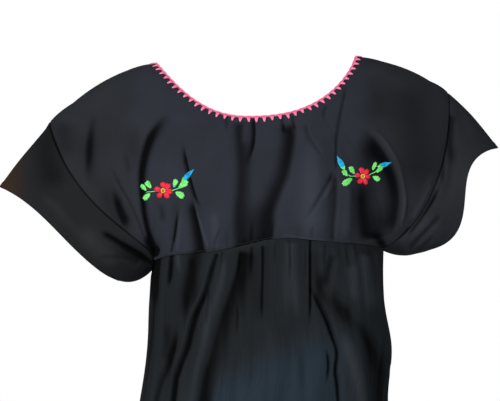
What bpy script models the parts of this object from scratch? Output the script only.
"""Short-sleeved peasant blouse, worn and hollow, with nobody in it.

Metres, +Z up. The back of the blouse faces -Y and its front +Y, so the
wearer's left sleeve is on -X. The origin lies between the two shoulders at
the neck opening, where the wearer holds the blouse up.

A smooth yoke runs over the shoulders from the neck opening to a bottom seam
and two armholes. It is cut as a back and a front. A fuller back and front
skirt hang from the yoke, gathered at the seam, and a short wide sleeve is
set in each armhole. A stitched edging binds the neck.

Each piece is a grid laid on a formula for its outer face, with a wall that
goes inwards from there.
"""

import bmesh
import bpy
import numpy as np
from mathutils import Vector

# The cloth and its seams
WALL = 0.0015
SEAM_GAP = 0.0003
LEFT, RIGHT = -1, 1

# Small steps: a share of a panel that counts as near its seam, a share that
# counts as on it, an angle at a corner, one for slopes, and a merging distance
NEAR_SEAM = 0.04
ON_SEAM = 0.004
ON_CORNER = 1e-6
SLOPE_STEP = 1e-3
MERGE_WITHIN = 1e-5

# The neck opening, measured from the origin
NECK_HALF_WIDTH = 0.134
NECK_REACH = {"back": 0.083, "front": 0.098}
NECK_DROP = {"back": 0.0797, "front": 0.125}
NECK_ROUNDING = 2.4
NECK_STEEPNESS = {"left": 1.08, "right": 0.66}
NECK_SOFTNESS = 0.03
NECK_LEVEL = -0.0032
NECK_TILT = 0.0047

# The armholes and sleeve hems, seen from behind: each is a line from its top
# on the shoulder to its lowest point under the arm, steered by two handles.
ARMHOLE_LINE = {
    "left": ((-0.2747, -0.0853), (-0.2270, -0.2340), (-0.1016, -0.2436), (-0.140, -0.285)),
    "right": ((0.2560, -0.0467), (0.2511, -0.2147), (0.1647, -0.2596), (0.160, -0.252)),
}
SLEEVE_HEM_LINE = {
    "left": ((-0.3413, -0.1720), (-0.276, -0.192), (-0.240, -0.262), (-0.190, -0.2925)),
    "right": ((0.3227, -0.1200), (0.230, -0.135), (0.311, -0.237), (0.222, -0.257)),
}
ARMHOLE_DEPTH = {"back": 0.062, "front": 0.058}
SLEEVE_HEM_DEPTH = {"back": 0.056, "front": 0.056}
SLEEVE_SAG = 0.009
SLEEVE_CROWN = {LEFT: 0.0005, RIGHT: 0.005}

# Angles round the neck and round the body run from 0 at the centre of the
# back, through 90 at the right side, to 180 at the centre of the front.
YOKE_CORNER = 34.0
BODY_CORNER = 68.0
ARMHOLE_CORNER = 134.4
CORNER_BLEND = 40.0

# Where the yoke's bottom seam runs, round the body
SEAM_HEIGHT = (
    # angle, height
    (-180, -0.262),
    (-112, -0.269),
    (-68, -0.2690),
    (-48, -0.2605),
    (-25, -0.2545),
    (-10, -0.2465),
    (0, -0.2405),
    (10, -0.2375),
    (25, -0.2405),
    (48, -0.2455),
    (68, -0.2500),
    (112, -0.250),
    (180, -0.262),
)

# The body of the blouse at seven levels: how far it reaches from the centre line
BODY_LEVELS = (
    # height, left, right, back, front
    (-0.680, 0.192, 0.203, 0.152, 0.155),
    (-0.560, 0.173, 0.187, 0.142, 0.147),
    (-0.457, 0.153, 0.1745, 0.133, 0.142),
    (-0.380, 0.144, 0.1790, 0.127, 0.144),
    (-0.330, 0.1425, 0.1710, 0.123, 0.142),
    (-0.270, 0.140, 0.1640, 0.117, 0.128),
    (-0.230, 0.138, 0.1590, 0.114, 0.118),
)
HEM_HEIGHT = -0.680
BODY_SQUARENESS = 2.5
SKIRT_SIDE_REACH = 0.115

# Powers that say how soon a form settles: how far the yoke's bottom seam runs
# straight before it turns to the arm, how soon the skirt leaves its top edge,
# and how near its top and its lowest line a sleeve bulges and sags
SEAM_SETTLES = 6
SKIRT_SETTLES = 8
CROWN_SETTLES, SAG_SETTLES = 3, 6

# How the yoke leaves the neck and how it meets its outer edge, round the neck
YOKE_SHAPE = (
    # angle, then the handle at the neck (x, y, z), then the one at the outer edge
    (-180, 0.000, 0.020, -0.035, 0.000, 0.008, 0.045),
    (-146, -0.025, 0.036, -0.030, 0.014, 0.040, 0.050),
    (-120, -0.042, 0.030, -0.016, 0.018, 0.014, 0.058),
    (-90, -0.050, 0.000, -0.004, 0.035, 0.000, 0.041),
    (-60, -0.043, -0.033, -0.017, 0.020, -0.016, 0.060),
    (-34, -0.026, -0.034, -0.034, 0.014, -0.042, 0.052),
    (0, 0.000, -0.020, -0.045, 0.000, -0.006, 0.060),
    (34, 0.026, -0.034, -0.034, -0.010, -0.042, 0.052),
    (60, 0.040, -0.033, -0.015, -0.010, -0.018, 0.060),
    (90, 0.045, 0.000, -0.004, -0.028, 0.000, 0.030),
    (120, 0.040, 0.030, -0.014, -0.010, 0.016, 0.058),
    (146, 0.025, 0.036, -0.030, -0.010, 0.040, 0.050),
    (180, 0.000, 0.020, -0.035, 0.000, 0.008, 0.045),
)

# The largest folds, as troughs in the cloth seen from behind: where each one
# starts, which way it bends and where it ends, how deep and how wide it is.
BACK_YOKE_FOLDS = (
    # x, z, bend x, bend z, end x, end z, depth, width
    (-0.100, -0.072, -0.165, -0.110, -0.122, -0.238, 0.0070, 0.012),
    (-0.222, -0.105, -0.226, -0.145, -0.205, -0.190, 0.0040, 0.011),
    (-0.095, -0.130, -0.086, -0.175, -0.068, -0.238, 0.0040, 0.009),
    (-0.022, -0.100, -0.026, -0.160, -0.018, -0.232, 0.0045, 0.015),
    (0.034, -0.095, 0.030, -0.150, 0.010, -0.225, 0.0045, 0.013),
    (0.106, -0.100, 0.112, -0.170, 0.070, -0.225, 0.0040, 0.010),
    (0.140, -0.095, 0.188, -0.140, 0.186, -0.205, 0.0060, 0.013),
)
FRONT_YOKE_FOLDS = (
    # x, z, bend x, bend z, end x, end z, depth, width
    (-0.120, -0.090, -0.160, -0.130, -0.128, -0.238, 0.0055, 0.012),
    (-0.070, -0.140, -0.076, -0.180, -0.060, -0.240, 0.0040, 0.011),
    (0.010, -0.150, 0.012, -0.185, 0.014, -0.240, 0.0035, 0.014),
    (0.080, -0.135, 0.092, -0.175, 0.080, -0.235, 0.0040, 0.011),
    (0.140, -0.095, 0.180, -0.135, 0.168, -0.215, 0.0055, 0.013),
)
BACK_SKIRT_FOLDS = (
    # x, z, bend x, bend z, end x, end z, depth, width
    (-0.112, -0.276, -0.120, -0.330, -0.150, -0.700, 0.0070, 0.012),
    (-0.054, -0.270, -0.064, -0.370, -0.124, -0.700, 0.0110, 0.011),
    (-0.006, -0.262, -0.040, -0.400, -0.072, -0.700, 0.0110, 0.017),
    (0.030, -0.252, 0.022, -0.420, -0.018, -0.700, 0.0080, 0.014),
    (0.074, -0.252, 0.072, -0.390, 0.046, -0.700, 0.0100, 0.011),
    (0.080, -0.300, 0.104, -0.400, 0.100, -0.700, 0.0110, 0.013),
    (0.112, -0.290, 0.138, -0.430, 0.160, -0.700, 0.0120, 0.016),
)
FRONT_SKIRT_FOLDS = (
    # x, z, bend x, bend z, end x, end z, depth, width
    (-0.112, -0.280, -0.124, -0.380, -0.154, -0.700, 0.0080, 0.013),
    (-0.070, -0.276, -0.078, -0.400, -0.104, -0.700, 0.0110, 0.012),
    (-0.030, -0.274, -0.034, -0.380, -0.050, -0.700, 0.0090, 0.012),
    (0.004, -0.272, 0.002, -0.420, 0.000, -0.700, 0.0110, 0.014),
    (0.040, -0.272, 0.044, -0.400, 0.056, -0.700, 0.0090, 0.012),
    (0.082, -0.270, 0.090, -0.400, 0.108, -0.700, 0.0110, 0.013),
    (0.124, -0.266, 0.134, -0.400, 0.158, -0.700, 0.0080, 0.014),
)
SLEEVE_FOLDS = {
    LEFT: (
        # x, z, bend x, bend z, end x, end z, depth, width
        (-0.222, -0.228, -0.186, -0.250, -0.150, -0.272, 0.0055, 0.010),
        (-0.276, -0.140, -0.300, -0.180, -0.292, -0.215, 0.0030, 0.013),
    ),
    RIGHT: (
        # x, z, bend x, bend z, end x, end z, depth, width
        (0.256, -0.195, 0.236, -0.225, 0.192, -0.244, 0.0050, 0.010),
        (0.270, -0.080, 0.268, -0.120, 0.278, -0.160, 0.0030, 0.012),
    ),
}
FOLD_STEPS = 120
FOLD_ENDING = 0.6

# How folds fade out: near the line between back and front in degrees, and near
# a seam as a power or as a share of the way down
YOKE_FADE_AT_SIDE, YOKE_FADE_AT_SEAM = 30.0, 1.2
SKIRT_FADE_AT_SIDE, SKIRT_FADE_AT_SEAM = 16.0, 0.12
SLEEVE_FADE_AT_SEAM = 0.3

# The waves of the hem: how many, how high, and how unevenly they are spaced
HEM_FLUTES = 17
HEM_FLUTE_DEPTH = 0.007
HEM_FLUTE_UNEVENNESS = 0.9
HEM_FLUTE_DRIFTS = 3
HEM_FLUTE_START = 1.0

# The stitched edging: a band on the outer face, with teeth at an even pitch
EDGING_WALL = 0.0014
EDGING_CLEARANCE = 0.0004
EDGING_RISE = 0.0024
EDGING_PITCH = 0.0100
EDGING_STEPS = 1440
EDGING_TOOTH = (
    # share of the pitch, reach below the cloth's edge
    (0.28, 0.0014),
    (0.50, 0.0062),
    (0.72, 0.0014),
)

# Columns and rows of the grids
YOKE_SIDE_COLUMNS = 9
SEAM_COLUMNS = 28
YOKE_ROWS = 11
SKIRT_SIDE_COLUMNS = 3
SKIRT_ROWS = 16
SLEEVE_ROWS = 6
EDGE_SHARE = 0.25

BLACK_POPLIN = ("black_poplin", (0.020, 0.021, 0.026), 0.62)
BLACK_GAUZE = ("black_gauze", (0.017, 0.020, 0.024), 0.78)
PINK_YARN = ("pink_yarn", (0.83, 0.13, 0.24), 0.70)


def column(table, index, at):
    """Reads one column of a table smoothly at the places given."""
    places = np.array([row[0] for row in table], float)
    values = np.array([row[index] for row in table], float)
    slopes = np.gradient(values, places)
    if values[0] == values[-1]:
        span = (places[1] - places[0]) + (places[-1] - places[-2])
        slopes[0] = slopes[-1] = (values[1] - values[-2]) / span
    at = np.clip(at, places[0], places[-1])
    cell = np.clip(np.searchsorted(places, at, "right") - 1, 0, len(places) - 2)
    width = places[cell + 1] - places[cell]
    u = (at - places[cell]) / width
    return (
        values[cell] * (1 + 2 * u) * (1 - u) ** 2
        + slopes[cell] * width * u * (1 - u) ** 2
        + values[cell + 1] * (3 - 2 * u) * u**2
        - slopes[cell + 1] * width * (1 - u) * u**2
    )


def curve(first, second, third, last, u):
    """A curve from first to last, steered by the two points between them."""
    return (
        first * (1 - u) ** 3
        + second * 3 * u * (1 - u) ** 2
        + third * 3 * u**2 * (1 - u)
        + last * u**3
    )


def ease(share):
    """Rises smoothly from 0 to 1."""
    share = np.clip(share, 0, 1)
    return share * share * (3 - 2 * share)


def unit(vectors):
    return vectors / np.linalg.norm(vectors, axis=-1, keepdims=True)


def pick(choice, yes, no):
    """Points from yes where choice is true, and from no elsewhere."""
    return np.where(np.asarray(choice)[..., None], yes, no)


def wrap(angle):
    """The same angle, from -180 up to 180."""
    return (np.asarray(angle, float) + 180) % 360 - 180


def parted(angle):
    """An angle as its side, whether it is behind, and how far it is from the centre."""
    angle = wrap(angle)
    size = np.abs(angle)
    return np.where(angle < 0, LEFT, RIGHT), size <= 90, np.minimum(size, 180 - size)


def joined(side, behind, from_centre):
    """The angle with this side, face and distance from the centre."""
    return side * np.where(behind, from_centre, 180 - from_centre)


def away_from_side(angle, reach):
    """0 on the line between back and front, and 1 from a few degrees off it."""
    return ease((90 - parted(angle)[2]) / reach)


def outward(place, angle, down):
    """Which way a surface faces, where its angles run from left to right."""
    step = SLOPE_STEP
    along = place(angle + step, down) - place(angle - step, down)
    away = place(angle, down + step) - place(angle, down - step)
    return unit(np.cross(away, along))


def neck_edge(angle):
    """The edge of the neck opening, at angles round it."""
    turn = np.radians(angle)
    across, along = np.sin(turn), np.cos(turn)
    drop, reach = (
        np.where(along >= 0, size["back"], size["front"])
        for size in (NECK_DROP, NECK_REACH)
    )
    steepness = np.where(across < 0, NECK_STEEPNESS["left"], NECK_STEEPNESS["right"])
    off_shoulder = np.hypot(1 - np.abs(across) ** NECK_ROUNDING, NECK_SOFTNESS)
    flat = NECK_SOFTNESS**steepness
    dip = (off_shoulder**steepness - flat) / (1 - flat)
    height = NECK_LEVEL + NECK_TILT * across - drop * dip
    return np.stack([NECK_HALF_WIDTH * across, -reach * along, height], axis=-1)


def arm_loop(lines, depth, side, angle):
    """A loop round the arm: 0 is its top, 90 its back and 180 its lowest point."""
    turn = np.radians(angle)
    down = ((1 - np.cos(turn)) / 2)[..., None]
    left, right = (
        curve(*(np.array(point) for point in lines[name]), down)
        for name in ("left", "right")
    )
    seen = pick(side == LEFT, left, right)
    reach = -np.where(np.sin(turn) >= 0, depth["back"], depth["front"]) * np.sin(turn)
    return np.stack([seen[..., 0], reach, seen[..., 1]], axis=-1)


def armhole(side, angle):
    return arm_loop(ARMHOLE_LINE, ARMHOLE_DEPTH, side, angle)


def body(height, angle):
    """The hang of the blouse's body below the arms, as rounded rings."""
    turn = np.radians(angle)
    left, right, back, front = (
        column(BODY_LEVELS, index, height) for index in (1, 2, 3, 4)
    )
    n = BODY_SQUARENESS
    rounding = (np.abs(np.sin(turn)) ** n + np.abs(np.cos(turn)) ** n) ** (-1 / n)
    reach = np.where(np.cos(turn) >= 0, back, front)
    x = (right - left) / 2 + (right + left) / 2 * np.sin(turn) * rounding
    return np.stack([x, -reach * np.cos(turn) * rounding, height + 0 * x], axis=-1)


def arm_angle_under(angle):
    """The armhole's angle at an angle round the body, under the arm."""
    _, behind, from_centre = parted(angle)
    share = (from_centre - BODY_CORNER) / (90 - BODY_CORNER)
    turned = ARMHOLE_CORNER + np.clip(share, 0, 1) * (180 - ARMHOLE_CORNER)
    return np.where(behind, turned, -turned)


def ring_at_seam(angle):
    return body(column(SEAM_HEIGHT, 1, wrap(angle)), angle)


def skirt_top(angle):
    """The skirt's top edge: the yoke's seam, and under each arm the armhole."""
    side, behind, from_centre = parted(angle)
    corner = joined(side, behind, BODY_CORNER)
    miss = armhole(side, arm_angle_under(corner)) - ring_at_seam(corner)
    share = np.minimum(from_centre / BODY_CORNER, 1) ** SEAM_SETTLES
    seam = ring_at_seam(angle) + miss * share[..., None]
    under_arm = armhole(side, arm_angle_under(angle))
    return pick(from_centre > BODY_CORNER, under_arm, seam)


def arm_angle_of_yoke(angle):
    """The armhole's angle at an angle round the neck."""
    _, behind, from_centre = parted(angle)
    turned = (90 - from_centre) * ARMHOLE_CORNER / (90 - YOKE_CORNER)
    return np.where(behind, turned, -turned)


def body_angle_of_yoke(angle):
    """The body's angle at an angle round the neck."""
    side, behind, from_centre = parted(angle)
    return joined(side, behind, from_centre * BODY_CORNER / YOKE_CORNER)


def yoke_rim(angle):
    """The yoke's outer edge: an armhole at each side, the seam between them."""
    side, _, from_centre = parted(angle)
    arm = armhole(side, arm_angle_of_yoke(angle))
    return pick(from_centre > YOKE_CORNER, arm, skirt_top(body_angle_of_yoke(angle)))


def troughs(point, angle, back_folds, front_folds=None):
    """How deep the folds push the cloth in, at points seen from behind."""
    steps = np.linspace(0, 1, FOLD_STEPS + 1)
    total = np.zeros(point.shape[:-1])
    behind = parted(angle)[1]
    for folds, here in ((back_folds, behind), (front_folds or (), ~behind)):
        for x0, z0, x1, z1, x2, z2, depth, width in folds:
            line_x = curve(x0, (x0 + 2 * x1) / 3, (x2 + 2 * x1) / 3, x2, steps)
            line_z = curve(z0, (z0 + 2 * z1) / 3, (z2 + 2 * z1) / 3, z2, steps)
            away = np.hypot(
                point[..., 0, None] - line_x, point[..., 2, None] - line_z
            )
            ending = np.sin(np.pi * steps[away.argmin(axis=-1)]) ** FOLD_ENDING
            total += here * depth * ending * np.exp(-((away.min(axis=-1) / width) ** 2))
    return total


def smooth_yoke(angle, down):
    """The yoke with no folds; down is 0 at the neck and 1 at the outer edge."""
    start, end, turned = neck_edge(angle), yoke_rim(angle), wrap(angle)
    leaving = np.stack([column(YOKE_SHAPE, i, turned) for i in (1, 2, 3)], axis=-1)
    meeting = np.stack([column(YOKE_SHAPE, i, turned) for i in (4, 5, 6)], axis=-1)
    return curve(start, start + leaving, end + meeting, end, down[..., None])


def yoke(angle, down):
    """The yoke's outer face, with folds that fade out at every seam."""
    point = smooth_yoke(angle, down)
    push = troughs(point, angle, BACK_YOKE_FOLDS, FRONT_YOKE_FOLDS)
    from_seams = np.sin(np.pi * np.clip(down, 0, 1)) ** YOKE_FADE_AT_SEAM
    push *= from_seams * away_from_side(angle, YOKE_FADE_AT_SIDE)
    return point - outward(smooth_yoke, angle, down) * push[..., None]


def smooth_skirt(angle, down):
    """The skirt with no folds; down is 0 at its top edge and 1 at the hem."""
    top = skirt_top(angle)
    height = top[..., 2] + (HEM_HEIGHT - top[..., 2]) * down
    offset = top - body(top[..., 2], angle)
    settled = np.clip(1 - down, 0, 1) ** SKIRT_SETTLES
    return body(height, angle) + offset * settled[..., None]


def skirt(angle, down):
    """The skirt's outer face, with gathers that grow from the seam to the hem."""
    point = smooth_skirt(angle, down)
    push = troughs(point, angle, BACK_SKIRT_FOLDS, FRONT_SKIRT_FOLDS)
    turn = np.radians(angle)
    wander = HEM_FLUTE_UNEVENNESS * np.sin(HEM_FLUTE_DRIFTS * turn + HEM_FLUTE_START)
    flutes = HEM_FLUTE_DEPTH * down**2 * np.cos(HEM_FLUTES * turn + wander)
    fade = away_from_side(angle, SKIRT_FADE_AT_SIDE) * ease(down / SKIRT_FADE_AT_SEAM)
    inward = (push * fade - flutes)[..., None]
    return point - outward(smooth_skirt, angle, down) * inward


def smooth_sleeve(side, angle, down):
    """A sleeve with no folds; down is 0 at the armhole and 1 at the hem."""
    start = armhole(side, angle)
    end = arm_loop(SLEEVE_HEM_LINE, SLEEVE_HEM_DEPTH, side, angle)
    low = (1 - np.cos(np.radians(angle))) / 2
    crown = np.where(side == LEFT, SLEEVE_CROWN[LEFT], SLEEVE_CROWN[RIGHT])
    bulge = crown * (1 - low) ** CROWN_SETTLES - SLEEVE_SAG * low**SAG_SETTLES
    lift = 4 * down * (1 - down) * bulge
    return start + (end - start) * down[..., None] + lift[..., None] * (0, 0, 1)


def sleeve_facing(place, side, angle, down):
    """Which way a sleeve faces: its angles run the other way on the right."""

    def on_side(around, along):
        return place(side, around, along)

    return -side * outward(on_side, angle, down)


def sleeve(side, angle, down):
    """A sleeve's outer face, with its folds."""
    point = smooth_sleeve(side, angle, down)
    push = troughs(point, angle, SLEEVE_FOLDS[side]) * ease(down / SLEEVE_FADE_AT_SEAM)
    return point - sleeve_facing(smooth_sleeve, side, angle, down) * push[..., None]


def facing_at_arm(side, turned):
    """Which way a wall goes at an armhole: midway between its sleeve and the rest."""
    behind, size = turned >= 0, np.abs(turned)
    over = 90 - np.minimum(size / ARMHOLE_CORNER, 1) * (90 - YOKE_CORNER)
    share = np.clip((size - ARMHOLE_CORNER) / (180 - ARMHOLE_CORNER), 0, 1)
    under = BODY_CORNER + share * (90 - BODY_CORNER)
    near = NEAR_SEAM + 0 * turned
    yoke_side = outward(smooth_yoke, joined(side, behind, over), 1 - near)
    skirt_side = outward(smooth_skirt, joined(side, behind, under), near)
    lower = ease((size - ARMHOLE_CORNER) / CORNER_BLEND + 0.5)[..., None]
    rest = unit(yoke_side * (1 - lower) + skirt_side * lower)
    left = sleeve_facing(smooth_sleeve, LEFT, turned, near)
    right = sleeve_facing(smooth_sleeve, RIGHT, turned, near)
    return unit(rest + pick(side == LEFT, left, right))


def facing_at_seam(angle):
    """Which way a wall goes at the skirt's top edge."""
    side, behind, from_centre = parted(angle)
    round_neck = joined(side, behind, from_centre * YOKE_CORNER / BODY_CORNER)
    near = NEAR_SEAM + 0 * angle
    yoke_side = outward(smooth_yoke, round_neck, 1 - near)
    skirt_side = outward(smooth_skirt, angle, near)
    at_arm = facing_at_arm(side, arm_angle_under(angle))
    share = np.minimum(from_centre / BODY_CORNER, 1)[..., None] ** SEAM_SETTLES
    return unit(unit(yoke_side + skirt_side) * (1 - share) + at_arm * share)


def yoke_facing(angle, down):
    side, _, from_centre = parted(angle)
    in_middle = from_centre < YOKE_CORNER - ON_CORNER
    at_rim = pick(
        in_middle,
        facing_at_seam(body_angle_of_yoke(angle)),
        facing_at_arm(side, arm_angle_of_yoke(angle)),
    )
    return pick(down > 1 - ON_SEAM, at_rim, outward(yoke, angle, down))


def skirt_facing(angle, down):
    here = outward(skirt, angle, down)
    return pick(down < ON_SEAM, facing_at_seam(angle), here)


def even_with_seams(start, end, count):
    """Even steps from start to end, with a narrow one at each seam."""
    inner = np.linspace(start, end, count + 1)
    narrow = EDGE_SHARE * (inner[1] - inner[0])
    ends = (start + narrow, end - narrow)
    return np.concatenate([[start, ends[0]], inner[1:-1], [ends[1], end]])


def add_material(name, colour, roughness):
    material = bpy.data.materials.get(name)
    if material is None:
        material = bpy.data.materials.new(name)
        material.use_nodes = True
        shader = material.node_tree.nodes["Principled BSDF"]
        shader.inputs["Base Color"].default_value = (*colour, 1)
        shader.inputs["Roughness"].default_value = roughness
        shader.inputs["Metallic"].default_value = 0
    return material


def cloth_piece(name, across, down, place, facing, finish, closed=False, wall=WALL):
    """Lays a grid on a piece's outer face, and backs it with a wall that goes in."""
    bm = bmesh.new()
    columns, rows = len(across) - 1, len(down) - 1
    bmesh.ops.create_grid(bm, x_segments=columns, y_segments=rows, size=1)
    inward = bm.verts.layers.float_vector.new("inward")
    spot = np.array([vertex.co[:2] for vertex in bm.verts]) / 2 + 0.5
    around = across[np.rint(spot[:, 0] * columns).astype(int)]
    along = down[np.rint(spot[:, 1] * rows).astype(int)]
    points, outs = place(around, along), facing(around, along)
    for vertex, point, out in zip(bm.verts, points, outs):
        vertex.co = point
        vertex[inward] = Vector(-wall * out)
    if closed:
        bmesh.ops.remove_doubles(bm, verts=bm.verts, dist=MERGE_WITHIN)
    backed = bmesh.ops.extrude_face_region(bm, geom=bm.faces[:])
    for vertex in backed["geom"]:
        if isinstance(vertex, bmesh.types.BMVert):
            vertex.co += vertex[inward]
    bmesh.ops.recalc_face_normals(bm, faces=bm.faces)
    bm.verts.layers.float_vector.remove(inward)
    mesh = bpy.data.meshes.new(name)
    bm.to_mesh(mesh)
    bm.free()
    mesh.shade_smooth()
    mesh.materials.append(add_material(*finish))
    return bpy.data.objects.new(name, mesh)


def yoke_columns(middle):
    """Angles of a yoke's columns, with one on each corner of its outer edge."""
    low, high = middle - YOKE_CORNER, middle + YOKE_CORNER
    first = even_with_seams(middle - 90, low, YOKE_SIDE_COLUMNS)
    last = even_with_seams(high, middle + 90, YOKE_SIDE_COLUMNS)
    between = np.linspace(low, high, SEAM_COLUMNS + 1)
    return np.concatenate([first, between[1:-1], last])


def skirt_columns(middle):
    """Angles of a skirt's columns, with one on each corner of the yoke's seam."""
    low, high = middle - BODY_CORNER, middle + BODY_CORNER
    first = even_with_seams(middle - 90, low, SKIRT_SIDE_COLUMNS)
    last = even_with_seams(high, middle + 90, SKIRT_SIDE_COLUMNS)
    between = np.linspace(low, high, SEAM_COLUMNS + 1)
    return np.concatenate([first, between[1:-1], last])


def drawn_in(columns, gap):
    """The same columns, with the first and the last a gap further in."""
    return np.concatenate([[columns[0] + gap], columns[1:-1], [columns[-1] - gap]])


def make_yokes():
    gap = np.degrees(SEAM_GAP / NECK_REACH["front"])
    rows = even_with_seams(0, 1, YOKE_ROWS)
    back, front = yoke_columns(0), drawn_in(yoke_columns(180), gap)
    return [
        cloth_piece("back_yoke", back, rows, yoke, yoke_facing, BLACK_POPLIN),
        cloth_piece("front_yoke", front, rows, yoke, yoke_facing, BLACK_POPLIN),
    ]


def make_skirts():
    gap = np.degrees(SEAM_GAP / SKIRT_SIDE_REACH)
    rows = even_with_seams(0, 1, SKIRT_ROWS)

    def below_seam(angle, down):
        return skirt(angle, down) - (SEAM_GAP * (1 - down))[..., None] * (0, 0, 1)

    back, front = skirt_columns(0), drawn_in(skirt_columns(180), gap)
    return [
        cloth_piece("back_skirt", back, rows, below_seam, skirt_facing, BLACK_GAUZE),
        cloth_piece("front_skirt", front, rows, below_seam, skirt_facing, BLACK_GAUZE),
    ]


def make_sleeve(side, name):
    over = even_with_seams(90, YOKE_CORNER, YOKE_SIDE_COLUMNS)
    to_back = (90 - over) * ARMHOLE_CORNER / (90 - YOKE_CORNER)
    under = even_with_seams(BODY_CORNER, 90, SKIRT_SIDE_COLUMNS)
    below = arm_angle_under(under)
    half = np.concatenate([to_back, below[1:]])
    around = np.concatenate([half, 360 - half[-2::-1]])
    rows = even_with_seams(0, 1, SLEEVE_ROWS)

    def off_seam(angle, down):
        along = unit(armhole(side, angle + 0.1) - armhole(side, angle - 0.1))
        off = np.cross(along, facing_at_arm(side, wrap(angle)))
        back_off = -side * unit(off) * (SEAM_GAP * (1 - down))[..., None]
        return sleeve(side, angle, down) + back_off

    def facing(angle, down):
        here = sleeve_facing(sleeve, side, angle, down)
        return pick(down < ON_SEAM, facing_at_arm(side, wrap(angle)), here)

    return cloth_piece(name, around, rows, off_seam, facing, BLACK_POPLIN, closed=True)


def make_edging():
    """The band and its teeth, from points of the yoke moved out."""
    fine = np.linspace(-180, 180, EDGING_STEPS + 1)
    steps = np.linalg.norm(np.diff(neck_edge(fine), axis=0), axis=1)
    walked = np.concatenate([[0], np.cumsum(steps)])
    teeth = round(walked[-1] / EDGING_PITCH)
    places = np.array([place for place, reach in EDGING_TOOTH])
    reaches = np.array([reach for place, reach in EDGING_TOOTH])
    shares = (np.arange(teeth)[:, None] + places).ravel() / teeth
    around = np.interp(shares * walked[-1], walked, fine)
    around = np.append(around, around[0] + 360)
    reach = np.append(np.tile(reaches, teeth), reaches[0])

    def facing(angle, row):
        return outward(smooth_yoke, angle, 0 * row + NEAR_SEAM)

    def place(angle, row):
        start = neck_edge(angle)
        away = unit(smooth_yoke(angle, 0 * row + NEAR_SEAM) - start)
        tip = np.interp(angle, around, reach)
        down = np.where(row < 0.5, -EDGING_RISE, tip)
        lift = EDGING_WALL + EDGING_CLEARANCE
        return start + away * down[..., None] + facing(angle, row) * lift

    rows = np.array([0.0, 1.0])
    return cloth_piece(
        "neck_edging", around, rows, place, facing, PINK_YARN, True, EDGING_WALL
    )


def main():
    for old in list(bpy.data.objects):
        bpy.data.objects.remove(old)
    blouse = bpy.data.collections.new("peasant_blouse")
    bpy.context.scene.collection.children.link(blouse)
    sleeves = [make_sleeve(LEFT, "left_sleeve"), make_sleeve(RIGHT, "right_sleeve")]
    for piece in (*make_yokes(), *make_skirts(), *sleeves, make_edging()):
        blouse.objects.link(piece)


main()
